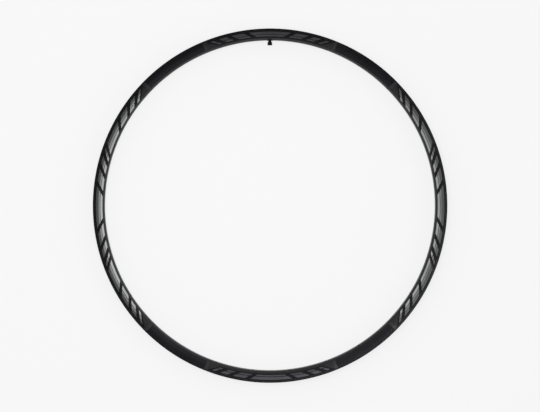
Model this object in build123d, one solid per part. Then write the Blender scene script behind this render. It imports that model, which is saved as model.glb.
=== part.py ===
from build123d import *
from math import isclose, sqrt
import os

# A 29 inch alloy bicycle rim that lies on its side. The wheel's axis is Z, the
# origin is the wheel's centre, the valve hole is at +Y and the labels face +Z.

# Driving dimensions, in millimetres and degrees
# Tyre side of the section
BEAD_SEAT_DIAMETER = 622.0
INNER_WIDTH = 25.0
FLANGE_HEIGHT = 5.7
HOOK_THICKNESS = 2.0
HOOK_OVERHANG = 0.45
HOOK_HEIGHT = 1.6
FLANGE_EDGE_BREAK = 0.7
SEAT_WIDTH = 3.4
HUMP_HEIGHT = 0.5
WELL_DEPTH = 4.0
WELL_WIDTH = 11.0

# Hub side of the section
RIM_DEPTH = 20.0
SIDE_HEIGHT = 9.5
KNEE_RADIUS = 14.0
SHOULDER_RISE = 2.8
SHOULDER_WIDTH = 21.6
BED_WIDTH = 10.5

# Walls of the hollow section
BRIDGE_WALL = 0.9
SIDE_WALL = 1.1
BED_WALL = 1.6

# Drilling
SPOKE_COUNT = 28
SPOKE_HOLE_DIAMETER = 4.5
ACCESS_HOLE_DIAMETER = 8.5
SPOKE_STAGGER = 2.2
SPOKE_TILT = 5.5
VALVE_HOLE_DIAMETER = 6.5
VALVE_ANGLE = 90.0

# Label films
LABEL_THICKNESS = 0.1
LABEL_ADHESIVE = 0.02
LABEL_EDGE_MARGIN = 2.5
LABEL_SHOULDER_MARGIN = 0.3
SHORT_LABEL_ARC = 45.0
LONG_LABEL_ARC = 90.0

# Plug in the valve hole
PLUG_KNOB_DIAMETER = 8.3
PLUG_KNOB_LENGTH = 5.0
PLUG_KNOB_EDGE_BREAK = 0.5
PLUG_TAPER_LENGTH = 1.35
PLUG_NECK_DIAMETER = 5.4
PLUG_NECK_LENGTH = 1.8
PLUG_RECESS_DIAMETER = 3.6
PLUG_RECESS_DEPTH = 1.0
PLUG_LIP_OVERLAP = 2.05
PLUG_LIP_THICKNESS = 0.6
PLUG_HOLE_CLEARANCE = 0.05
PLUG_BARB_OVERLAP = 0.5
PLUG_BARB_LENGTH = 4.5
PLUG_TIP_DIAMETER = 4.6

# Sizes that follow from them
seat_radius = BEAD_SEAT_DIAMETER / 2
rim_radius = seat_radius + FLANGE_HEIGHT
bed_radius = rim_radius - RIM_DEPTH
bed_inside_radius = bed_radius + BED_WALL
knee_radius = rim_radius - SIDE_HEIGHT
shoulder_radius = bed_radius + SHOULDER_RISE
well_radius = seat_radius - WELL_DEPTH
hook_z = INNER_WIDTH / 2
flange_z = hook_z + HOOK_OVERHANG
half_width = hook_z + HOOK_THICKNESS
hump_z = flange_z - SEAT_WIDTH


def both_sides(upper_points):
    """Closed outline of points (radius, z) above the mid plane and their mirror below it."""
    lower_points = [(radius, -z) for radius, z in reversed(upper_points)]
    return Plane.XZ * make_face(Polyline(*upper_points, *lower_points, close=True))


def corners(outline, radius):
    """The outline's corners that lie at one radius from the wheel's axis."""
    return [vertex for vertex in outline.vertices() if isclose(vertex.X, radius)]


def section_outline():
    """The section's outer form with sharp corners: flat sides, leaning sides, shoulders and the spoke bed."""
    return both_sides([
        (bed_radius, BED_WIDTH / 2),
        (shoulder_radius, SHOULDER_WIDTH / 2),
        (knee_radius, half_width),
        (rim_radius, half_width),
    ])


def section_envelope():
    """The outer form as it is extruded, with rounded knees and the flanges' edges broken."""
    outline = section_outline()
    outline = chamfer(corners(outline, rim_radius), FLANGE_EDGE_BREAK)
    return fillet(corners(outline, knee_radius), KNEE_RADIUS)


def tyre_channel():
    """What the tyre's side is cut to: hooked flanges, bead seats with a hump, and a drop-centre well."""
    return both_sides([
        (well_radius, WELL_WIDTH / 2),
        (seat_radius + HUMP_HEIGHT, hump_z),
        (seat_radius, hump_z + HUMP_HEIGHT),
        (seat_radius, flange_z),
        (rim_radius - HOOK_HEIGHT, flange_z),
        (rim_radius - HOOK_HEIGHT + HOOK_OVERHANG, hook_z),
        (rim_radius + FLANGE_HEIGHT, hook_z),
    ])


def hollow(channel):
    """The closed chamber between the spoke bed, the side walls and the bridge under the tyre."""
    walls = offset(section_outline(), -SIDE_WALL, kind=Kind.INTERSECTION)
    bridge = offset(channel, BRIDGE_WALL, kind=Kind.INTERSECTION)
    chamber = both_sides([
        (bed_inside_radius, half_width),
        (seat_radius - BRIDGE_WALL, half_width),
    ])
    return (walls & chamber) - bridge


def spoke_drill():
    """Stepped drill for one spoke: nipple hole in the bed, wider access hole in the bridge.

    Its axis is Z, with the spoke bed's surface at zero and the tyre's side above.
    """
    bridge_height = well_radius - BRIDGE_WALL - bed_radius
    step = (BED_WALL + bridge_height) / 2
    nipple = Cylinder(SPOKE_HOLE_DIAMETER / 2, 2 * step)
    upwards = (Align.CENTER, Align.CENTER, Align.MIN)
    access = Pos(Z=step) * Cylinder(ACCESS_HOLE_DIAMETER / 2, RIM_DEPTH, align=upwards)
    return nipple + access


def around(angle, radius, z=0.0, tilt=0.0):
    """Place whose Z axis points outwards from the wheel's axis, leaning down by the tilt."""
    return Rot(Z=angle) * Pos(X=radius, Z=z) * Rot(Y=90.0 + tilt)


def rim_hoop(envelope):
    """The whole hoop: the revolved section, its spoke holes in two staggered rows and the valve hole."""
    channel = tyre_channel()
    section = envelope - channel - hollow(channel)
    hoop = revolve(section, Axis.Z)
    pitch = 360.0 / SPOKE_COUNT
    drills = []
    for index in range(SPOKE_COUNT):
        side = 1 if index % 2 == 0 else -1
        angle = VALVE_ANGLE + (index + 0.5) * pitch
        place = around(angle, bed_radius, side * SPOKE_STAGGER, side * SPOKE_TILT)
        drills.append(place * spoke_drill())
    valve_drill = Cylinder(VALVE_HOLE_DIAMETER / 2, 2 * RIM_DEPTH)
    drills.append(around(VALVE_ANGLE, rim_radius - RIM_DEPTH / 2) * valve_drill)
    return hoop - drills


def label_film(envelope, middle_angle, arc):
    """A thin film on the +Z side wall, its adhesive's thickness off it, centred on one angle."""
    underside = offset(envelope, LABEL_ADHESIVE)
    outside = offset(envelope, LABEL_ADHESIVE + LABEL_THICKNESS)
    outer_edge = rim_radius - LABEL_EDGE_MARGIN
    inner_edge = shoulder_radius + LABEL_SHOULDER_MARGIN
    middle = (outer_edge + inner_edge) / 2
    band = Plane.XZ * Pos(middle, half_width) * Rectangle(outer_edge - inner_edge, 2 * half_width)
    strip = (outside - underside) & band
    return Rot(Z=middle_angle - arc / 2) * revolve(strip, Axis.Z, arc)


def valve_hole_plug():
    """Moulded plug, turned about the valve hole's axis: knob, neck, lip on the bed, shank and barb."""
    hole_radius = VALVE_HOLE_DIAMETER / 2
    knob_radius = PLUG_KNOB_DIAMETER / 2
    neck_radius = PLUG_NECK_DIAMETER / 2
    lip_radius = hole_radius + PLUG_LIP_OVERLAP
    lip_seat = sqrt(bed_radius**2 - lip_radius**2)
    lip_face = lip_seat - PLUG_LIP_THICKNESS
    neck_end = lip_face - PLUG_NECK_LENGTH
    shoulder = neck_end - PLUG_TAPER_LENGTH
    end = shoulder - PLUG_KNOB_LENGTH
    shank_radius = hole_radius - PLUG_HOLE_CLEARANCE
    barb_radius = hole_radius + PLUG_BARB_OVERLAP
    barb_face = bed_inside_radius + PLUG_HOLE_CLEARANCE
    half_profile = Polyline(
        (0, end + PLUG_RECESS_DEPTH),
        (PLUG_RECESS_DIAMETER / 2, end),
        (knob_radius - PLUG_KNOB_EDGE_BREAK, end),
        (knob_radius, end + PLUG_KNOB_EDGE_BREAK),
        (knob_radius, shoulder),
        (neck_radius, neck_end),
        (neck_radius, lip_face),
        (lip_radius, lip_face),
        (lip_radius, lip_seat),
        (shank_radius, lip_seat),
        (shank_radius, barb_face),
        (barb_radius, barb_face),
        (PLUG_TIP_DIAMETER / 2, barb_face + PLUG_BARB_LENGTH),
        (0, barb_face + PLUG_BARB_LENGTH),
        close=True,
    )
    plug = revolve(Plane.XZ * make_face(half_profile), Axis.Z)
    return around(VALVE_ANGLE, radius=0.0) * plug


envelope = section_envelope()
nodes = {
    "rim_hoop": rim_hoop(envelope),
    "label_right": label_film(envelope, VALVE_ANGLE - 90.0, LONG_LABEL_ARC),
    "label_top": label_film(envelope, VALVE_ANGLE, SHORT_LABEL_ARC),
    "label_left": label_film(envelope, VALVE_ANGLE + 90.0, LONG_LABEL_ARC),
    "label_bottom": label_film(envelope, VALVE_ANGLE + 180.0, SHORT_LABEL_ARC),
    "valve_hole_plug": valve_hole_plug(),
}

os.makedirs("parts", exist_ok=True)
for name, shape in nodes.items():
    export_step(shape, f"parts/{name}.step")
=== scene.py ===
from collections import namedtuple
from math import ceil, pi, radians, sqrt, tan

import bmesh
import bpy
import numpy as np
from bpy.props import FloatProperty, FloatVectorProperty, IntProperty, PointerProperty
from mathutils import Matrix, Vector


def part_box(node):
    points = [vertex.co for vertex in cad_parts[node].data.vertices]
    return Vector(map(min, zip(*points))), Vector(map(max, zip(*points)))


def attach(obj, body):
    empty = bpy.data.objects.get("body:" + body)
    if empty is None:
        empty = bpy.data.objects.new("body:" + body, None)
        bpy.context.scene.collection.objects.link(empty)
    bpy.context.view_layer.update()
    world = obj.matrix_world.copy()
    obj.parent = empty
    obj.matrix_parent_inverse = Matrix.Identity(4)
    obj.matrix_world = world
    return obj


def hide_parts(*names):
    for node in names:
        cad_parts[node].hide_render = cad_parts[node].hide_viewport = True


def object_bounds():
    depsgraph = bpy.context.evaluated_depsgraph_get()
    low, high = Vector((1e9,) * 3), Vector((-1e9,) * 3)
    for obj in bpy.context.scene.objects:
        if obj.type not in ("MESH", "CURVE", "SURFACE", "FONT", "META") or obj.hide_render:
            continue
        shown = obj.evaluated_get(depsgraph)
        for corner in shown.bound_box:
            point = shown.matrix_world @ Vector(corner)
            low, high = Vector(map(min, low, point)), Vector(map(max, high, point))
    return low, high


bl_info = {
    "name": "Bicycle Rim",
    "version": (1, 0, 0),
    "blender": (4, 5, 0),
    "location": "View3D > Sidebar > Rim",
    "description": "Dresses a drilled alloy bicycle rim with its finish, label films and studio",
    "category": "Object",
}

# The packed CAD model, in metres. The wheel's axis is Z, the valve hole is at +Y
# and the label films face +Z.
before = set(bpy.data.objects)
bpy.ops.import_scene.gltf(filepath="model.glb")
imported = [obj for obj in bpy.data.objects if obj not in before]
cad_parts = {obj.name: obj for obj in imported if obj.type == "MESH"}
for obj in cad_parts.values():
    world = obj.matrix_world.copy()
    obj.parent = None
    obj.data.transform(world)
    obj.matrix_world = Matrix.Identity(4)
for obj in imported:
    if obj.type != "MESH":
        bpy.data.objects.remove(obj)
CAD_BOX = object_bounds()
HOOP_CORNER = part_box("rim_hoop")[1]

# How finely the surfaces are divided. An arc over the large rounding has its own steps.
ARC_STEP = radians(13.0)
LARGE_ROUNDING = 0.01
LARGE_STEPS = 7
WINDOW_COLUMNS = 8
COARSE_COLUMN = radians(1.6)
FILM_COLUMN = radians(0.75)
BED_ROWS = 8
TURNED_COLUMNS = 72
MERGE_DISTANCE = 1e-6

# Rings round a drilled hole: where they lie on the way from its window's edge to the
# hole, the steps over its lip, and the passes that find where the drill meets a surface
RING_PLACES = (0.0, 0.45, 0.8)
LIP_STEPS = 3
TRAVEL_PASSES = 12

# Where the bars of one group of print start and end, as shares of the group's length,
# and how much wider their outline is along the film than across it, because they lean
BAR_SPANS = ((0.0, 0.35), (0.43, 0.61), (0.69, 0.80), (0.88, 0.93))
OUTLINE_STRETCH = 2.0

# The noises of the finishes: waves per metre, detail, and how far each one changes
# the colour's tone, the roughness and the relief
Grain = namedtuple("Grain", "waves detail tone roughness relief")
DIE_LINES = [Grain(2600.0, 2.0, tone=0.5, roughness=0.0, relief=0.5)]
BLASTED_METAL = [
    Grain(1900.0, 3.0, tone=0.0, roughness=0.16, relief=0.7),
    Grain(600.0, 2.0, tone=1.9, roughness=0.12, relief=0.0),
    Grain(14.0, 3.0, tone=1.2, roughness=0.0, relief=0.0),
]
SATIN_FILM = [
    Grain(2400.0, 3.0, tone=0.3, roughness=0.12, relief=0.5),
    Grain(22.0, 2.0, tone=0.5, roughness=0.0, relief=0.0),
]
MOULDED_RUBBER = [
    Grain(3800.0, 3.0, tone=0.0, roughness=0.2, relief=1.0),
    Grain(500.0, 2.0, tone=1.6, roughness=0.0, relief=0.0),
]

# Distance in the die lines' noise for each radian round the hoop, the height of every
# relief, and the refraction of every coating
DIE_LINE_TURN = 0.004
RELIEF_HEIGHT = 0.0001
COATING_IOR = 1.5

# Heights at which the room goes over from the horizon to the walls and to the ceiling,
# as the Z of a direction
HORIZON_TO_WALLS = (0.10, 0.45)
WALLS_TO_CEILING = (0.70, 0.93)

# The picture's width in pixels and the camera's sensor in millimetres
IMAGE_WIDTH = 540
SENSOR_WIDTH = 36.0


def length(name, description, default):
    """A property that holds a length in metres."""
    return FloatProperty(name=name, description=description, default=default, unit="LENGTH", precision=5)


def angle(name, description, degrees):
    """A property that holds an angle."""
    return FloatProperty(name=name, description=description, default=radians(degrees), unit="ROTATION")


def share(name, description, default):
    """A property that holds a number from 0 to 1."""
    return FloatProperty(
        name=name, description=description, default=default, min=0.0, max=1.0, subtype="FACTOR"
    )


def number(name, description, default):
    """A property that holds a plain number."""
    return FloatProperty(name=name, description=description, default=default)


def count(name, description, default):
    """A property that holds a whole number from 1 upwards."""
    return IntProperty(name=name, description=description, default=default, min=1)


def colour(name, description, default):
    """A property that holds a linear colour."""
    return FloatVectorProperty(
        name=name, description=description, default=default, min=0.0, max=1.0, subtype="COLOR"
    )


def point(name, description, default):
    """A property that holds a place in metres."""
    return FloatVectorProperty(
        name=name, description=description, default=default, unit="LENGTH", subtype="TRANSLATION"
    )


def power(name, description, default):
    """A property that holds a light's power in watts."""
    return FloatProperty(name=name, description=description, default=default, unit="POWER")


class SectionSizes(bpy.types.PropertyGroup):
    """The hoop's section, from the tyre's side to the spoke bed."""

    rim_radius: length("Rim radius", "Outer radius over the flanges", HOOP_CORNER.x)
    half_width: length("Half width", "From the mid plane to a side wall", HOOP_CORNER.z)
    flange_height: length("Flange height", "From the bead seat to the flange's edge", 0.0057)
    hook_thickness: length("Hook thickness", "Thickness of a flange's edge", 0.0020)
    hook_overhang: length("Hook overhang", "How far the hook stands over the seat", 0.00045)
    hook_height: length("Hook height", "Height of the hook's straight face", 0.0016)
    seat_width: length("Seat width", "From the flange to the hump", 0.0034)
    hump_height: length("Hump height", "Height of the hump that keeps the bead in place", 0.0005)
    well_depth: length("Well depth", "Depth of the drop-centre well under the seats", 0.0040)
    well_width: length("Well width", "Width of the well's floor", 0.0110)
    rim_depth: length("Rim depth", "From the flange's edge to the spoke bed", 0.0200)
    side_height: length("Side height", "Height of the flat side wall", 0.0095)
    knee_radius: length("Knee radius", "Rounding between the flat and the leaning side wall", 0.0140)
    shoulder_rise: length("Shoulder rise", "Height of the shoulder over the spoke bed", 0.0028)
    shoulder_width: length("Shoulder width", "Width over the shoulders", 0.0216)
    bed_width: length("Bed width", "Width of the flat spoke bed", 0.0105)
    bridge_wall: length("Bridge wall", "Wall under the tyre", 0.0009)
    side_wall: length("Side wall", "Wall of the sides and shoulders", 0.0011)
    bed_wall: length("Bed wall", "Wall of the spoke bed", 0.0016)


class RoundingSizes(bpy.types.PropertyGroup):
    """The small radii that the die and the polishing leave on the section."""

    bed_edge: length("Bed edge", "Rounding between the spoke bed and the shoulder", 0.0008)
    shoulder: length("Shoulder", "Rounding of the shoulder", 0.0012)
    flange_edge: length("Flange edge", "Rounding of the flange's outer edge", 0.0006)
    hook_edge: length("Hook edge", "Rounding of the hook's edge towards the tyre", 0.00035)
    hook_corner: length("Hook corner", "Rounding at the hook's slant", 0.0002)
    seat_corner: length("Seat corner", "Rounding between the flange and the seat", 0.0006)
    hump: length("Hump", "Rounding of the hump", 0.0003)
    well_corner: length("Well corner", "Rounding at the well's floor", 0.0015)
    drilled_lip: length("Drilled lip", "Rounding of a drilled hole's edge", 0.00025)


class DrillingSizes(bpy.types.PropertyGroup):
    """The spoke holes in two staggered rows, and the valve hole."""

    spoke_count: count("Spokes", "Number of spoke holes", 28)
    spoke_hole: length("Spoke hole", "Diameter in the spoke bed", 0.0045)
    access_hole: length("Access hole", "Diameter in the wall under the tyre", 0.0085)
    stagger: length("Stagger", "Each row's distance from the mid plane", 0.0022)
    tilt: angle("Tilt", "Lean of a spoke hole towards its hub flange", 5.5)
    valve_hole: length("Valve hole", "Diameter of the valve hole", 0.0065)
    valve_angle: angle("Valve angle", "Where the valve hole is, from +X", 90.0)


class LabelSizes(bpy.types.PropertyGroup):
    """The thin printed films on the side wall."""

    thickness: length("Thickness", "Thickness of a film", 0.0001)
    adhesive: length("Adhesive", "Gap that the adhesive fills", 0.00002)
    edge_margin: length("Edge margin", "From the flange's edge to the film", 0.0025)
    shoulder_margin: length("Shoulder margin", "From the shoulder to the film", 0.0003)
    short_arc: angle("Short arc", "Arc of a short film", 45.0)
    long_arc: angle("Long arc", "Arc of a long film", 90.0)
    end_margin: length("End margin", "Bare film past the print's ends", 0.0050)
    clear_end: length("Clear end", "Length of the clear strip at a film's ends", 0.0050)
    lean: number("Lean", "Slant of the print, along per across", 1.5)
    print_start: length("Print start", "From the film's outer edge to the print", 0.0030)
    long_print: length("Long print", "From a long film's outer edge to the print's far side", 0.0150)
    short_print: length("Short print", "From a short film's outer edge to the print's far side", 0.0118)
    outline: length("Outline", "Width of the black line round the print", 0.0022)
    slot: length("Slot", "Width of the slot that parts each bar lengthwise", 0.0011)
    slot_place: share("Slot place", "Where the slot lies across the print", 0.62)
    long_groups: count("Long groups", "Groups of bars on each half of a long film", 2)
    short_groups: count("Short groups", "Groups of bars on each half of a short film", 1)


class PlugSizes(bpy.types.PropertyGroup):
    """The moulded plug in the valve hole, along the hole's axis."""

    knob: length("Knob", "Diameter of the knob", 0.0083)
    knob_length: length("Knob length", "Length of the knob", 0.0050)
    knob_rounding: length("Knob rounding", "Rounding of the knob's edges", 0.0006)
    taper: length("Taper", "Length of the taper into the neck", 0.00135)
    neck: length("Neck", "Diameter of the neck", 0.0054)
    neck_length: length("Neck length", "Length of the neck", 0.0018)
    recess: length("Recess", "Diameter of the recess in the knob's end", 0.0036)
    recess_depth: length("Recess depth", "Depth of the recess", 0.0010)
    lip_overlap: length("Lip overlap", "How far the lip reaches past the hole", 0.00205)
    lip_thickness: length("Lip thickness", "Thickness of the lip", 0.0006)
    clearance: length("Clearance", "Between the shank and the hole", 0.00005)
    barb_overlap: length("Barb overlap", "How far the barb reaches past the hole", 0.0005)
    barb_length: length("Barb length", "Length of the barb", 0.0045)
    tip: length("Tip", "Diameter of the barb's tip", 0.0046)
    fine_rounding: length("Fine rounding", "Rounding of the lip and the barb", 0.00012)


class FinishLook(bpy.types.PropertyGroup):
    """Colours, roughness, shine and relief of the finishes."""

    anodised: colour("Anodised black", "Colour of the anodised metal", (0.0050, 0.0050, 0.0058))
    anodised_pale: colour("Anodised pale", "Where the anodised layer is thinner", (0.0102, 0.0102, 0.0114))
    anodised_tone: share("Anodised tone", "Mean place of the colour from black to pale", 0.45)
    anodised_roughness: share("Anodised roughness", "Roughness of the anodised metal", 0.34)
    anodised_shine: share("Anodised shine", "Strength of the metal's reflection", 0.15)
    anodised_relief: share("Anodised relief", "Strength of the metal's grain and die lines", 0.16)
    film: colour("Film", "Colour of the label film", (0.0134, 0.0134, 0.0142))
    film_end: colour("Film end", "Colour of the clear strip at a film's ends", (0.0190, 0.0190, 0.0199))
    film_roughness: share("Film roughness", "Roughness of the label film", 0.46)
    film_shine: share("Film shine", "Strength of the film's reflection", 0.14)
    film_relief: share("Film relief", "Strength of the film's grain and print", 0.10)
    outline: colour("Outline", "Colour of the line round the print", (0.0045, 0.0045, 0.0050))
    silver: colour("Silver", "Colour of the long films' print", (0.57, 0.58, 0.58))
    silver_roughness: share("Silver roughness", "Roughness of the silver print", 0.30)
    silver_flake: share("Silver flake", "How metallic the silver print is", 0.95)
    grey: colour("Grey", "Colour of the short films' print", (0.0385, 0.0375, 0.0412))
    ink_cover: share("Ink cover", "How much of the film shows the print's colour", 0.88)
    ink_height: share("Ink height", "How far the print stands up, as a share of the relief", 0.3)
    rubber: colour("Rubber", "Colour of the plug", (0.0045, 0.0045, 0.0047))
    rubber_dusty: colour("Dusty rubber", "Where dust lies on the plug", (0.0090, 0.0090, 0.0094))
    rubber_dust: share("Rubber dust", "Mean place of the colour from clean to dusty", 0.32)
    rubber_roughness: share("Rubber roughness", "Roughness of the plug", 0.72)
    rubber_shine: share("Rubber shine", "Strength of the plug's reflection", 0.25)
    rubber_relief: share("Rubber relief", "Strength of the plug's grain", 0.25)


class StudioSetup(bpy.types.PropertyGroup):
    """The camera, the lights, the room and the floor."""

    camera_place: point("Camera place", "Where the camera is", (-0.055, 0.095, 2.55))
    camera_aim: point("Camera aim", "What the camera looks at", (-0.0007, 0.0003, 0.0))
    camera_up: FloatVectorProperty(
        name="Camera up",
        description="What the camera shows as upright",
        default=(0.0034, 1.0, 0.0),
        subtype="DIRECTION",
    )
    focal: FloatProperty(
        name="Focal length", description="In pixels of the picture", default=1421.4, subtype="PIXEL"
    )
    side_light: point("Side light", "Where the softbox that lights the pieces is", (0.50, -0.50, 0.50))
    side_light_width: length("Side light width", "Width of that softbox", 0.5)
    side_light_height: length("Side light height", "Height of that softbox", 0.4)
    side_light_power: power("Side light power", "Power of that softbox", 17.7)
    floor_light: point("Floor light", "Where the softbox that lights the floor is", (-0.20, 0.20, 2.30))
    floor_light_width: length("Floor light width", "Width and height of that softbox", 1.2)
    floor_light_power: power("Floor light power", "Power of that softbox", 31.0)
    floor_width: length("Floor width", "Width of the floor", 60.0)
    backdrop: share("Backdrop", "Brightness of the floor and of the room near the horizon", 0.93)
    glow: share("Glow", "Even brightness that the camera sees the floor at", 0.942)
    shadow: share("Shadow", "How much of the floor's own shading the camera sees", 0.20)
    walls: share("Walls", "Brightness of the room halfway up", 0.48)
    side_walls: number("Side walls", "How much brighter the walls to both sides are", 1.4)
    right_wall: number("Right wall", "How much brighter the right wall is than the left", 0.30)
    back_wall: number("Back wall", "How much brighter the wall behind is than the one in front", 0.45)
    ceiling: share("Ceiling", "Brightness of the room overhead", 0.02)


# Surfaces

Drill = namedtuple("Drill", "angle radius z tilt")


def rounded_line(corners):
    """Open line through corners (radius, z, rounding), each rounded by an arc.

    An arc is tangent to both sides of its corner. It starts rounding * tan(turn / 2)
    before the corner and turns about a centre that lies the rounding away, square
    to the side that it leaves.
    """
    corners = np.asarray(corners, float)
    places, roundings = corners[:, :2], corners[:, 2]
    sides = np.diff(places, axis=0)
    sides /= np.linalg.norm(sides, axis=1, keepdims=True)
    line = [places[:1]]
    for place, rounding, side, leaving in zip(places[1:-1], roundings[1:-1], sides[:-1], sides[1:]):
        turn = np.arctan2(side[0] * leaving[1] - side[1] * leaving[0], side @ leaving)
        steps = ceil(abs(turn) / ARC_STEP) if rounding else 0
        if rounding > LARGE_ROUNDING:
            steps = LARGE_STEPS
        swing = np.linspace(0.0, turn, steps + 1)[:, None]
        arm = np.sign(turn) * rounding * np.array([side[1], -side[0]])
        start = place - side * rounding * tan(abs(turn) / 2)
        line.append(start - arm + np.cos(swing) * arm + np.sin(swing) * np.array([-arm[1], arm[0]]))
    return np.concatenate([*line, places[-1:]])


def level_line(radius, half):
    """Line at one radius, in even steps from one height below the mid plane to the same above it."""
    return np.stack([np.full(BED_ROWS + 1, radius), np.linspace(-half, half, BED_ROWS + 1)], axis=1)


def inset_corners(places, insets):
    """Corners of an open line whose sides have each moved to their right by an inset.

    A moved side holds the points whose distance along its normal is that of the old
    side plus the inset, and each corner solves the equations of its two sides.
    """
    places = np.asarray(places, float)
    sides = np.diff(places, axis=0)
    sides /= np.linalg.norm(sides, axis=1, keepdims=True)
    normals = np.stack([sides[:, 1], -sides[:, 0]], axis=1)
    reach = (normals * places[:-1]).sum(axis=1) + np.asarray(insets)
    pairs = np.stack([normals[:-1], normals[1:]], axis=1)
    return np.linalg.solve(pairs, np.stack([reach[:-1], reach[1:]], axis=1)[..., None])[..., 0]


def mirrored(line):
    """The line on the other side of the mid plane, run backwards."""
    return line[::-1] * (1.0, -1.0)


def swept(line, angles):
    """Grid of points: the line's points (radius, z) turned about Z to every angle."""
    radius, z = line[:, :1], line[:, 1:]
    heights = np.broadcast_to(z, (len(line), len(angles)))
    return np.stack([radius * np.cos(angles), radius * np.sin(angles), heights], axis=-1)


def radius_on(line, z):
    """Radius of a section line at heights z, between its points."""
    order = np.argsort(line[:, 1])
    return np.interp(z, line[order, 1], line[order, 0])


def hole_edge(drill, line, turn, radius, depth=0.0):
    """Angle, radius and z of the points where a round drill meets a swept surface.

    The drill's axis leans by its tilt in a plane through the wheel's axis. Its points
    are start + travel * axis + radius * (cos turn * tangent + sin turn * upright), and
    the travel grows by what is missing to the line's radius until it lies there. The
    depth then moves the points along the drill.
    """
    lean_out, lean_down = np.cos(drill.tilt), np.sin(drill.tilt)
    across, upright = radius * np.cos(turn), radius * np.sin(turn)

    def outward(travel):
        return drill.radius + travel * lean_out + upright * lean_down

    def height(travel):
        return drill.z - travel * lean_down + upright * lean_out

    travel = np.zeros_like(turn)
    for _ in range(TRAVEL_PASSES):
        travel += radius_on(line, height(travel)) - np.hypot(outward(travel), across)
    travel += depth
    reach = outward(travel)
    return drill.angle + np.arctan2(across, reach), np.hypot(reach, across), height(travel)


def window_edge(rows, columns):
    """Row and column numbers of a grid window's edge, once round."""
    along, up = np.arange(columns - 1), np.arange(rows - 1)
    row = np.concatenate([0 * along, up, rows - 1 + 0 * along, rows - 1 - up])
    column = np.concatenate([along, columns - 1 + 0 * up, columns - 1 - along, 0 * up])
    return row, column


def closing_rings(drill, windows, line, radius, lip, inward):
    """Rings of points from a window's edge to a hole, and over its rounded lip.

    The rings move from the window's edge towards the lip's outer circle along the
    swept surface. On the lip the circle shrinks by lip * sin(roll) while it sinks by
    lip * (1 - cos(roll)) along the drill, for a roll of a quarter turn.
    """
    row, column = window_edge(len(line), windows.shape[1])
    angles, z = windows[:, column], line[row, 1]
    middle = hole_edge(drill, line, np.zeros_like(drill.angle), 0.0)
    turn = np.arctan2(z - middle[2], middle[1] * (angles - drill.angle))
    circle = hole_edge(drill, line, turn, radius + lip)
    rings = []
    for near in RING_PLACES:
        ring_z = z + near * (circle[2] - z)
        rings.append((angles + near * (circle[0] - angles), radius_on(line, ring_z), ring_z))
    for roll in np.linspace(0.0, pi / 2, LIP_STEPS + 1):
        shrunk, sunk = radius + lip * (1 - np.sin(roll)), lip * (1 - np.cos(roll))
        rings.append(hole_edge(drill, line, turn, shrunk, inward * sunk))
    return [np.stack(np.broadcast_arrays(*ring), axis=-1) for ring in rings]


def drilled(drill, windows, outside, inside, radius, lip):
    """One grid for each hole that joins two swept surfaces through the wall between them.

    Its rings close in on the hole on one surface, pass through the wall along the
    drill and spread out again to the window of the other surface.
    """
    inward = np.sign(inside[0, 0] - outside[0, 0])
    rings = closing_rings(drill, windows, outside, radius, lip, inward)
    rings += closing_rings(drill, windows, inside, radius, lip, -inward)[::-1]
    tubes = np.stack(rings, axis=1)
    tubes = np.concatenate([tubes, tubes[:, :, :1]], axis=2)
    angles, reach, z = np.moveaxis(tubes, -1, 0)
    return np.stack([reach * np.cos(angles), reach * np.sin(angles), z], axis=-1)


def grid_mesh(name, grids, closed=True):
    """A mesh of the quads of several grids of points.

    Each item is a grid and the mask of its quads that are kept, or None for all. A
    closed mesh is merged where the grids' edges meet, and its faces turned outwards.
    """
    points, quads, first = [], [], 0
    for grid, kept in grids:
        index = first + np.arange(grid[..., 0].size).reshape(grid.shape[:2])
        corners = np.stack([index[:-1, :-1], index[:-1, 1:], index[1:, 1:], index[1:, :-1]], axis=-1)
        quads.append(corners.reshape(-1, 4) if kept is None else corners[kept])
        points.append(grid.reshape(-1, 3))
        first += index.size
    used, quads = np.unique(np.concatenate(quads), return_inverse=True)
    mesh = bpy.data.meshes.new(name)
    mesh.from_pydata(np.concatenate(points)[used].tolist(), [], quads.reshape(-1, 4).tolist())
    if closed:
        clean = bmesh.new()
        clean.from_mesh(mesh)
        bmesh.ops.remove_doubles(clean, verts=clean.verts, dist=MERGE_DISTANCE)
        bmesh.ops.recalc_face_normals(clean, faces=clean.faces)
        clean.to_mesh(mesh)
        clean.free()
    mesh.shade_smooth()
    return mesh


def add_map(mesh, name, places):
    """Gives a mesh a UV map, with one place for each corner of its faces."""
    mesh.uv_layers.new(name=name).uv.foreach_set("vector", places.astype(np.float32).ravel())


def add_piece(name, mesh, material, node):
    """Links a piece to the scene in the place of a CAD node, on the hoop's body."""
    mesh.materials.append(material)
    piece = bpy.data.objects.new(name, mesh)
    bpy.context.scene.collection.objects.link(piece)
    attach(piece, "root")
    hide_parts(node)
    return piece


# Shaders

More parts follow.
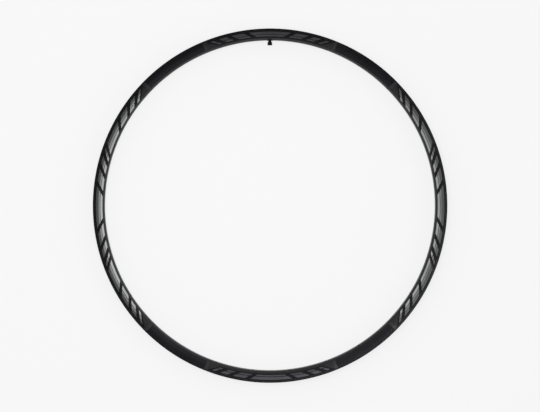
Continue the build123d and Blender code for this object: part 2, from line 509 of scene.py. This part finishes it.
class Wire:
    """An output socket of a node tree. Arithmetic on it adds Math nodes."""

    def __init__(self, tree, socket=None):
        self.tree = tree
        self.socket = socket

    def node(self, kind, settings=None, inputs=None, output=0):
        """Adds a node. Its settings are set first, then each input gets its value or link."""
        made = self.tree.nodes.new(kind)
        for name, value in (settings or {}).items():
            setattr(made, name, value)
        for name, value in (inputs or {}).items():
            if isinstance(value, Wire):
                self.tree.links.new(value.socket, made.inputs[name])
            else:
                made.inputs[name].default_value = value
        return Wire(self.tree, made.outputs[output]) if made.outputs else None

    def math(self, operation, *values):
        """Adds a Math node that works on the values."""
        return self.node("ShaderNodeMath", {"operation": operation}, dict(enumerate(values)))

    def __add__(self, other):
        return self.math("ADD", self, other)

    def __sub__(self, other):
        return self.math("SUBTRACT", self, other)

    def __rsub__(self, other):
        return self.math("SUBTRACT", other, self)

    def __mul__(self, other):
        return self.math("MULTIPLY", self, other)

    def __truediv__(self, other):
        return self.math("DIVIDE", self, other)

    def __lt__(self, other):
        return self.math("LESS_THAN", self, other)

    def __gt__(self, other):
        return self.math("GREATER_THAN", self, other)

    def __abs__(self):
        return self.math("ABSOLUTE", self)

    def __or__(self, other):
        """The larger value, so that two masks make one."""
        return self.math("MAXIMUM", self, other)

    __radd__ = __add__
    __rmul__ = __mul__
    __ror__ = __or__

    def between(self, low, high):
        """1 where the value lies between two others, and 0 elsewhere."""
        return (self > low) * (self < high)

    def blended(self, span, first, second):
        """A value that goes smoothly from the first to the second as this one crosses a span."""
        low, high = span
        inputs = {0: self, 1: low, 2: high, 3: first, 4: second}
        return self.node("ShaderNodeMapRange", {"interpolation_type": "SMOOTHSTEP"}, inputs)

    def mixed(self, first, second):
        """A colour that goes from the first to the second as the value goes from 0 to 1."""
        return self.node("ShaderNodeMix", {"data_type": "RGBA"}, {0: self, 6: first, 7: second}, output=2)

    def outputs(self, *names):
        """Several outputs of the node that this one comes from."""
        return [Wire(self.tree, self.socket.node.outputs[name]) for name in names]

    def parts(self):
        """The X, Y and Z of a vector."""
        return self.node("ShaderNodeSeparateXYZ", inputs={0: self}).outputs("X", "Y", "Z")


def opaque(value):
    """A property's colour as a shader socket takes it."""
    return (*value, 1.0)


def grey_level(value):
    """A brightness as a shader's colour socket takes it."""
    return (value, value, value, 1.0)


def empty_tree(owner):
    """Clears the nodes of a material or a world, and gives the wire that adds new ones."""
    owner.use_nodes = True
    owner.node_tree.nodes.clear()
    return Wire(owner.node_tree)


def new_material(name):
    """An empty material and the wire that adds its nodes."""
    material = bpy.data.materials.new(name)
    return material, empty_tree(material)


def grained(wire, place, grains):
    """Tone, roughness and relief of a finish: sums of its noises, each around 0 and times its weight."""
    noises = []
    for grain in grains:
        inputs = {"Vector": place, "Scale": grain.waves, "Detail": grain.detail}
        noises.append(wire.node("ShaderNodeTexNoise", inputs=inputs) - 0.5)
    weights = zip(*[(grain.tone, grain.roughness, grain.relief) for grain in grains])
    return [sum(noise * weight for noise, weight in zip(noises, row) if weight) for row in weights]


def finish_material(wire, base, roughness, shine, relief, height, metallic=0.0):
    """Adds the surface shader, its normals bent by a height of a given strength, and the output."""
    bent = {"Strength": relief, "Distance": RELIEF_HEIGHT, "Height": height}
    surface = wire.node("ShaderNodeBsdfPrincipled", inputs={
        "Base Color": base,
        "Metallic": metallic,
        "Roughness": roughness,
        "IOR": COATING_IOR,
        "Specular IOR Level": shine,
        "Normal": wire.node("ShaderNodeBump", inputs=bent),
    })
    wire.node("ShaderNodeOutputMaterial", inputs={"Surface": surface})


def anodised_material(look):
    """Black anodised alloy: bead-blasted grain, faint die lines and a mottled, slightly cloudy colour.

    The die lines are noise over (radius, z, angle) with the angle stretched out,
    so that they follow the section round the hoop.
    """
    material, wire = new_material("bead_blasted_black")
    place = wire.node("ShaderNodeTexCoord", output="Object")
    x, y, z = place.parts()
    radius = wire.math("SQRT", x * x + y * y)
    turned = wire.math("ARCTAN2", y, x) * DIE_LINE_TURN
    section = wire.node("ShaderNodeCombineXYZ", inputs={0: radius, 1: z, 2: turned})
    tone, roughness, relief = grained(wire, place, BLASTED_METAL)
    line_tone, _, line_relief = grained(wire, section, DIE_LINES)
    shade = look.anodised_tone + tone + line_tone
    finish_material(
        wire,
        base=shade.mixed(opaque(look.anodised), opaque(look.anodised_pale)),
        roughness=look.anodised_roughness + roughness,
        shine=look.anodised_shine,
        relief=look.anodised_relief,
        height=relief + line_relief,
    )
    return material


# The print of one kind of film: half the film's length, the groups of bars on it, the
# distance from the film's outer edge to the print's far side, and the ink's finish
Print = namedtuple("Print", "name half groups far_side colour metallic roughness")


def slanted_bars(wire, label, pattern, along, across, margin):
    """Mask of a film's print: groups of slanted bars that get shorter away from the film's middle.

    The place along the film, counted from its middle to both sides and slanted by the
    distance across, repeats with each group. A bar is where that place lies in one of
    the group's spans. The margin widens the bars on all sides.
    """
    pitch = (pattern.half - label.end_margin + label.lean * label.print_start) / pattern.groups
    widened = margin * OUTLINE_STRETCH / pitch
    slanted = (abs(along) + across * label.lean) / pitch
    part = wire.math("FRACT", slanted)
    bars = 0.0
    for low, high in BAR_SPANS:
        bars = bars | part.between(low - widened, high + widened)
    printed = across.between(label.print_start - margin, pattern.far_side + margin)
    return bars * printed * (slanted < pattern.groups)


def film_material(label, look, pattern):
    """A satin film with a print of bars on it, each with a black outline, and a paler strip at each end.

    The film's map gives the distance along it from its middle and across it from its
    outer edge. A thin slot parts each bar lengthwise.
    """
    material, wire = new_material(pattern.name)
    along, across, _ = wire.node("ShaderNodeUVMap", {"uv_map": "print"}).parts()
    slot_middle = label.print_start + label.slot_place * (pattern.far_side - label.print_start)
    slot = across.between(slot_middle - label.slot / 2, slot_middle + label.slot / 2)
    bars = slanted_bars(wire, label, pattern, along, across, 0.0) * (1.0 - slot)
    outline = slanted_bars(wire, label, pattern, along, across, label.outline)
    clear = abs(along) > pattern.half - label.clear_end
    ground = outline.mixed(clear.mixed(opaque(look.film), opaque(look.film_end)), opaque(look.outline))
    place = wire.node("ShaderNodeTexCoord", output="Object")
    tone, roughness, relief = grained(wire, place, SATIN_FILM)
    ink = bars * (look.ink_cover + tone)
    finish_material(
        wire,
        base=ink.mixed(ground, opaque(pattern.colour)),
        roughness=look.film_roughness + bars * (pattern.roughness - look.film_roughness) + roughness,
        shine=look.film_shine,
        relief=look.film_relief,
        height=relief + bars * look.ink_height,
        metallic=bars * pattern.metallic if pattern.metallic else 0.0,
    )
    return material


def rubber_material(look):
    """Moulded black rubber: a fine even grain and dust in the colour."""
    material, wire = new_material("moulded_rubber")
    place = wire.node("ShaderNodeTexCoord", output="Object")
    tone, roughness, relief = grained(wire, place, MOULDED_RUBBER)
    dust = look.rubber_dust + tone
    finish_material(
        wire,
        base=dust.mixed(opaque(look.rubber), opaque(look.rubber_dusty)),
        roughness=look.rubber_roughness + roughness,
        shine=look.rubber_shine,
        relief=look.rubber_relief,
        height=relief,
    )
    return material


def floor_material(studio):
    """A pale floor that the camera, gloss and glass see mostly at its own even brightness."""
    material, wire = new_material("studio_floor")
    rays = wire.node("ShaderNodeLightPath")
    camera, glossy, through = rays.outputs("Is Camera Ray", "Is Glossy Ray", "Is Transmission Ray")
    even = (camera | glossy | through) * (1.0 - studio.shadow)
    paper = wire.node("ShaderNodeBsdfDiffuse", inputs={"Color": grey_level(studio.backdrop)})
    glow = wire.node("ShaderNodeEmission", inputs={"Color": grey_level(studio.glow)})
    mix = wire.node("ShaderNodeMixShader", inputs={0: even, 1: paper, 2: glow})
    wire.node("ShaderNodeOutputMaterial", inputs={"Surface": mix})
    return material


# Pieces

Skin = namedtuple("Skin", "bed seat well_corner slope side")


def skin_corners(section, rounding):
    """The hoop's skin above its mid plane, as corners (radius, z, rounding) with two of its radii.

    The slope is the point halfway from the hump to the well's corner. The side goes
    from the bed's edge over the shoulder, the knee, the flange and the seat to it.
    """
    rim = section.rim_radius
    bed = rim - section.rim_depth
    seat = rim - section.flange_height
    well = seat - section.well_depth
    hook_z = section.half_width - section.hook_thickness
    flange_z = hook_z + section.hook_overhang
    hook_start = rim - section.hook_height
    hump_z = flange_z - section.seat_width
    hump = seat + section.hump_height
    well_z = section.well_width / 2
    slope = ((hump + well) / 2, (hump_z + well_z) / 2, 0.0)
    side = [
        (bed, section.bed_width / 2, rounding.bed_edge),
        (bed + section.shoulder_rise, section.shoulder_width / 2, rounding.shoulder),
        (rim - section.side_height, section.half_width, section.knee_radius),
        (rim, section.half_width, rounding.flange_edge),
        (rim, hook_z, rounding.hook_edge),
        (hook_start + section.hook_overhang, hook_z, rounding.hook_corner),
        (hook_start, flange_z, rounding.hook_corner),
        (seat, flange_z, rounding.seat_corner),
        (seat, hump_z + section.hump_height, rounding.hump),
        (hump, hump_z, rounding.hump),
        slope,
    ]
    return Skin(bed, seat, (well, well_z, rounding.well_corner), slope, side)


def side_line(skin, start_z):
    """The skin's section line from the bed over the side wall to the well's slope."""
    return rounded_line([(skin.bed, start_z, 0.0), *skin.side])


def well_line(skin):
    """The skin's section line across the drop-centre well, from slope to slope.

    Its floor has a point halfway from each corner to the mid plane.
    """
    well, well_z, _ = skin.well_corner
    half = rounded_line([skin.slope, skin.well_corner, (well, well_z / 2, 0.0), (well, 0.0, 0.0)])
    return np.concatenate([half, mirrored(half)[1:]])


def chamber_lines(section, skin, bridge_rows):
    """Section lines of the closed chamber: its bed, its side and the bridge between its slopes.

    Each side of the skin's sharp outline moves inwards by its own wall.
    """
    well, well_z, _ = skin.well_corner
    grade = (skin.slope[1] - well_z) / (skin.slope[0] - well)
    outline = [
        (skin.bed, 0.0),
        (skin.bed, section.bed_width / 2),
        (skin.bed + section.shoulder_rise, section.shoulder_width / 2),
        (section.rim_radius - section.side_height, section.half_width),
        (skin.seat, section.half_width),
        (skin.seat, well_z + grade * (skin.seat - well)),
        (well, well_z),
        (well, 0.0),
    ]
    walls = [section.bed_wall, *[section.side_wall] * 3, *[section.bridge_wall] * 3]
    bed_edge, shoulder, knee, top, seat_end, bridge_edge = inset_corners(outline, walls)
    slope = (seat_end + bridge_edge) / 2
    side = np.stack([bed_edge, shoulder, knee, top, seat_end, slope])
    half_bridge = np.stack([slope, bridge_edge])
    bridge_z = np.linspace(slope[1], -slope[1], bridge_rows)
    bridge_radius = radius_on(np.concatenate([half_bridge, mirrored(half_bridge)]), bridge_z)
    return level_line(*bed_edge), side, np.stack([bridge_radius, bridge_z], axis=1)


def column_angles(drilling, half_window):
    """Middles of the holes, angles of the hoop's columns, and each window's first column.

    The columns are close together in a window at each hole and coarse between windows.
    """
    pitch = 2 * pi / drilling.spoke_count
    spokes = np.arange(drilling.spoke_count) + 0.5
    middles = drilling.valve_angle + pitch * np.concatenate([[0.0], spokes])
    nexts = np.append(middles[1:], middles[0] + 2 * pi)
    window = np.linspace(-half_window, half_window, WINDOW_COLUMNS + 1)
    angles, firsts = [], []
    for middle, following in zip(middles, nexts):
        firsts.append(sum(map(len, angles)))
        start, end = middle + half_window, following - half_window
        between = np.linspace(start, end, ceil((end - start) / COARSE_COLUMN) + 1)
        angles += [middle + window, between[1:-1]]
    last = middles[0] + 2 * pi - half_window
    return middles, np.append(np.concatenate(angles), last), np.array(firsts)


def hoop_mesh(section, rounding, drilling):
    """The hollow hoop: its section lines turned about Z, with every hole drilled through both walls.

    The part of the bed that has windows reaches two lips past the staggered holes.
    """
    skin = skin_corners(section, rounding)
    lip = rounding.drilled_lip
    bed_half = drilling.stagger + drilling.spoke_hole / 2 + 2 * lip
    bed = level_line(skin.bed, bed_half)
    side = side_line(skin, bed_half)
    well = well_line(skin)
    chamber_bed, chamber_side, bridge = chamber_lines(section, skin, len(well))

    middles, angles, firsts = column_angles(drilling, drilling.access_hole / skin.bed)
    windows = angles[firsts[:, None] + np.arange(WINDOW_COLUMNS + 1)]
    solid = np.ones(len(angles) - 1, bool)
    solid[firsts[:, None] + np.arange(WINDOW_COLUMNS)] = False

    whole = (side, mirrored(side), chamber_side, mirrored(chamber_side))
    grids = [(swept(line, angles), None) for line in whole]
    for line in (bed, well, chamber_bed, bridge):
        kept = np.broadcast_to(solid, (len(line) - 1, len(solid)))
        grids.append((swept(line, angles), kept))

    row = np.where(np.arange(drilling.spoke_count) % 2 == 0, 1.0, -1.0)[:, None]
    spokes = Drill(middles[1:, None], skin.bed, row * drilling.stagger, row * drilling.tilt)
    valve = Drill(middles[:1, None], skin.bed, np.zeros((1, 1)), np.zeros((1, 1)))
    holes = [
        drilled(spokes, windows[1:], bed, chamber_bed, drilling.spoke_hole / 2, lip),
        drilled(spokes, windows[1:], well, bridge, drilling.access_hole / 2, lip),
        drilled(valve, windows[:1], bed, chamber_bed, drilling.valve_hole / 2, lip),
        drilled(valve, windows[:1], well, bridge, drilling.valve_hole / 2, lip),
    ]
    grids += [(tube, None) for tubes in holes for tube in tubes]
    return grid_mesh("hoop_skin", grids)


def film_line(section, rounding, label):
    """Section line of a film's outer face from its outer edge inwards, and the film's mean radius.

    It is the side wall's line, moved off it along its normals by the adhesive and the film.
    """
    skin = skin_corners(section, rounding)
    side = side_line(skin, 0.0)
    wall = side[: np.argmax(side[:, 0]) + 1]
    inner = skin.bed + section.shoulder_rise + label.shoulder_margin
    outer = section.rim_radius - label.edge_margin
    radius = wall[(wall[:, 0] > inner) & (wall[:, 0] < outer), 0]
    radius = np.concatenate([[outer], radius[::-1], [inner]])
    z = np.interp(radius, wall[:, 0], wall[:, 1])
    slope = np.gradient(z, radius)
    normal = np.stack([-slope, np.ones_like(slope)], axis=1) / np.hypot(slope, 1.0)[:, None]
    line = np.stack([radius, z], axis=1) + (label.adhesive + label.thickness) * normal
    return line, (inner + outer) / 2


def film_mesh(name, line, mean_radius, middle, arc):
    """A film's outer face: its section line turned through the arc.

    The map named print gives each point's distance along the film at its mean radius,
    from its middle, and across it from its outer edge, in metres. A second map, named OFBake,
    folds the long film into rows that fill a square.
    """
    columns = ceil(arc / FILM_COLUMN) + 1
    angles = middle + np.linspace(-arc / 2, arc / 2, columns)
    mesh = grid_mesh(name, [(swept(line, angles), None)], closed=False)
    corner = np.empty(len(mesh.loops), np.int32)
    mesh.loops.foreach_get("vertex_index", corner)
    along = (angles - middle) * mean_radius
    across = np.concatenate([[0.0], np.cumsum(np.hypot(*np.diff(line, axis=0).T))])
    places = np.stack(np.meshgrid(along, across), axis=-1).reshape(-1, 2)[corner]
    add_map(mesh, "print", places)

    rows = round(sqrt((along[-1] - along[0]) / across[-1]))
    row_columns = ceil((columns - 1) / rows)
    column = corner % columns
    row = column.reshape(-1, 4).min(axis=1).repeat(4) // row_columns
    folded_along = (column - row * row_columns) / row_columns
    folded_across = (row + places[:, 1] / across[-1]) / rows
    add_map(mesh, "OFBake", np.stack([folded_along, folded_across], axis=1))
    return mesh


def plug_mesh(section, drilling, plug):
    """The plug's profile (radius, place along the valve hole's axis), turned about that axis."""
    bed = section.rim_radius - section.rim_depth
    hole = drilling.valve_hole / 2
    lip = hole + plug.lip_overlap
    seat = sqrt(bed**2 - lip**2)
    lip_face = seat - plug.lip_thickness
    neck_end = lip_face - plug.neck_length
    shoulder = neck_end - plug.taper
    end = shoulder - plug.knob_length
    shank = hole - plug.clearance
    barb_face = bed + section.bed_wall + plug.clearance
    tip = barb_face + plug.barb_length
    fine = plug.fine_rounding
    profile = rounded_line([
        (0.0, end + plug.recess_depth, 0.0),
        (plug.recess / 2, end, fine),
        (plug.knob / 2, end, plug.knob_rounding),
        (plug.knob / 2, shoulder, plug.knob_rounding),
        (plug.neck / 2, neck_end, plug.knob_rounding),
        (plug.neck / 2, lip_face, fine),
        (lip, lip_face, fine),
        (lip, seat, fine),
        (shank, seat, 0.0),
        (shank, barb_face, 0.0),
        (hole + plug.barb_overlap, barb_face, fine),
        (plug.tip / 2, tip, fine),
        (0.0, tip, 0.0),
    ])
    turned = swept(profile, np.linspace(0.0, 2 * pi, TURNED_COLUMNS + 1))
    aim, side = drilling.valve_angle, drilling.valve_angle - pi / 2
    out = np.array([np.cos(aim), np.sin(aim), 0.0])
    across = np.array([np.cos(side), np.sin(side), 0.0])
    up = np.array([0.0, 0.0, 1.0])
    return grid_mesh("plug_skin", [(turned @ np.stack([across, up, out]), None)])


class RIM_OT_hoop(bpy.types.Operator):
    """Build the drilled hoop in black anodised alloy"""

    bl_idname = "rim.hoop"
    bl_label = "Hoop"

    def execute(self, context):
        scene = context.scene
        mesh = hoop_mesh(scene.rim_section, scene.rim_rounding, scene.rim_drilling)
        material = anodised_material(scene.rim_finish)
        hoop = add_piece("hoop_skin", mesh, material, "rim_hoop")
        hoop.modifiers.new("Even shading", "WEIGHTED_NORMAL")
        return {"FINISHED"}


class RIM_OT_labels(bpy.types.Operator):
    """Build the four label films with their print"""

    bl_idname = "rim.labels"
    bl_label = "Label films"

    def execute(self, context):
        scene = context.scene
        label, look, section = scene.rim_label, scene.rim_finish, scene.rim_section
        mid_depth = section.rim_radius - section.rim_depth / 2
        long_film = film_material(label, look, Print(
            name="silver_print",
            half=mid_depth * label.long_arc / 2,
            groups=label.long_groups,
            far_side=label.long_print,
            colour=look.silver,
            metallic=look.silver_flake,
            roughness=look.silver_roughness,
        ))
        short_film = film_material(label, look, Print(
            name="grey_print",
            half=mid_depth * label.short_arc / 2,
            groups=label.short_groups,
            far_side=label.short_print,
            colour=look.grey,
            metallic=0.0,
            roughness=look.film_roughness,
        ))
        line, mean_radius = film_line(section, scene.rim_rounding, label)
        valve = scene.rim_drilling.valve_angle
        for name, middle, arc, material, slot in (
            ("top", valve, label.short_arc, short_film, "short_label"),
            ("left", valve + pi / 2, label.long_arc, long_film, "long_label"),
            ("bottom", valve + pi, label.short_arc, short_film, "short_label"),
            ("right", valve - pi / 2, label.long_arc, long_film, "long_label"),
        ):
            mesh = film_mesh(f"film_{name}", line, mean_radius, middle, arc)
            film = add_piece(f"film_{name}", mesh, material, f"label_{name}")
            shell = film.modifiers.new("Thickness", "SOLIDIFY")
            shell.thickness = label.thickness
            shell.offset = -1.0
            film.modifiers.new("Even shading", "WEIGHTED_NORMAL")
        return {"FINISHED"}


class RIM_OT_plug(bpy.types.Operator):
    """Build the rubber plug in the valve hole"""

    bl_idname = "rim.plug"
    bl_label = "Valve hole plug"

    def execute(self, context):
        scene = context.scene
        mesh = plug_mesh(scene.rim_section, scene.rim_drilling, scene.rim_plug)
        material = rubber_material(scene.rim_finish)
        plug = add_piece("plug_skin", mesh, material, "valve_hole_plug")
        plug.modifiers.new("Even shading", "WEIGHTED_NORMAL")
        return {"FINISHED"}


def facing(place, target, up):
    """Matrix that puts an object at a place, with its -Z towards the target and its Y upwards."""
    back = (Vector(place) - Vector(target)).normalized()
    right = Vector(up).cross(back).normalized()
    turned = Matrix((right, back.cross(right), back)).transposed()
    return Matrix.Translation(place) @ turned.to_4x4()


class RIM_OT_studio(bpy.types.Operator):
    """Set up the floor, the softboxes, the room's light and the camera"""

    bl_idname = "rim.studio"
    bl_label = "Studio"

    def execute(self, context):
        scene, studio = context.scene, context.scene.rim_studio
        floor = self.make_floor(scene, studio)
        side = self.make_softbox(scene, "side softbox", studio.side_light, floor, "EXCLUDE")
        side.size, side.size_y = studio.side_light_width, studio.side_light_height
        side.energy = studio.side_light_power
        above = self.make_softbox(scene, "floor softbox", studio.floor_light, floor, "INCLUDE")
        above.size = above.size_y = studio.floor_light_width
        above.energy = studio.floor_light_power
        self.make_room(scene, studio)
        camera = bpy.data.cameras.new("camera")
        camera.sensor_fit = "HORIZONTAL"
        camera.sensor_width = SENSOR_WIDTH
        camera.lens = SENSOR_WIDTH * studio.focal / IMAGE_WIDTH
        scene.camera = bpy.data.objects.new("camera", camera)
        scene.camera.matrix_world = facing(studio.camera_place, studio.camera_aim, studio.camera_up)
        scene.collection.objects.link(scene.camera)
        scene.view_settings.view_transform = "Standard"
        return {"FINISHED"}

    def make_floor(self, scene, studio):
        """A square floor under the rim."""
        edge = np.array([-0.5, 0.5]) * studio.floor_width
        x, y = np.meshgrid(edge, edge)
        floor_z = np.full_like(x, CAD_BOX[0].z)
        mesh = grid_mesh("floor", [(np.stack([x, y, floor_z], axis=-1), None)], closed=False)
        mesh.materials.append(floor_material(studio))
        floor = bpy.data.objects.new("floor", mesh)
        scene.collection.objects.link(floor)
        return floor

    def make_softbox(self, scene, name, place, floor, floor_state):
        """An area light that faces the origin and lights all but the floor, or the floor alone."""
        receivers = bpy.data.collections.new(f"lit by the {name}")
        receivers.objects.link(floor)
        receivers.collection_objects[0].light_linking.link_state = floor_state
        light = bpy.data.lights.new(name, "AREA")
        light.shape = "RECTANGLE"
        softbox = bpy.data.objects.new(name, light)
        softbox.matrix_world = facing(place, (0.0, 0.0, 0.0), (0.0, 1.0, 0.0))
        softbox.visible_camera = softbox.visible_glossy = False
        softbox.light_linking.receiver_collection = receivers
        scene.collection.objects.link(softbox)
        return light

    def make_room(self, scene, studio):
        """A room that is pale at the horizon, darker on its walls and darkest overhead."""
        scene.world = bpy.data.worlds.new("room")
        wire = empty_tree(scene.world)
        x, y, height = wire.node("ShaderNodeTexCoord", output="Generated").parts()
        sides = x * x * studio.side_walls + x * studio.right_wall + y * studio.back_wall
        level = height.blended(HORIZON_TO_WALLS, studio.backdrop, studio.walls * (sides + 1.0))
        level = height.blended(WALLS_TO_CEILING, level, studio.ceiling)
        room = wire.node("ShaderNodeBackground", inputs={"Color": level})
        wire.node("ShaderNodeOutputWorld", inputs={"Surface": room})


class RIM_PT_panel(bpy.types.Panel):
    """The rim's pieces and studio"""

    bl_idname = "RIM_PT_panel"
    bl_label = "Bicycle rim"
    bl_space_type = "VIEW_3D"
    bl_region_type = "UI"
    bl_category = "Rim"

    def draw(self, context):
        for operator in OPERATORS:
            self.layout.operator(operator.bl_idname)
        for name, group in SETTINGS.items():
            box = self.layout.box()
            box.label(text=group.__doc__)
            for setting in group.__annotations__:
                box.prop(getattr(context.scene, name), setting)


SETTINGS = {
    "rim_section": SectionSizes,
    "rim_rounding": RoundingSizes,
    "rim_drilling": DrillingSizes,
    "rim_label": LabelSizes,
    "rim_plug": PlugSizes,
    "rim_finish": FinishLook,
    "rim_studio": StudioSetup,
}
OPERATORS = (RIM_OT_hoop, RIM_OT_labels, RIM_OT_plug, RIM_OT_studio)
CLASSES = (*SETTINGS.values(), *OPERATORS, RIM_PT_panel)


def register():
    for kind in CLASSES:
        bpy.utils.register_class(kind)
    for name, group in SETTINGS.items():
        setattr(bpy.types.Scene, name, PointerProperty(type=group))


def unregister():
    for name in SETTINGS:
        delattr(bpy.types.Scene, name)
    for kind in reversed(CLASSES):
        bpy.utils.unregister_class(kind)


def main():
    """Builds every piece and the studio."""
    register()
    bpy.ops.rim.hoop()
    bpy.ops.rim.labels()
    bpy.ops.rim.plug()
    bpy.ops.rim.studio()


if __name__ == "__main__":
    main()
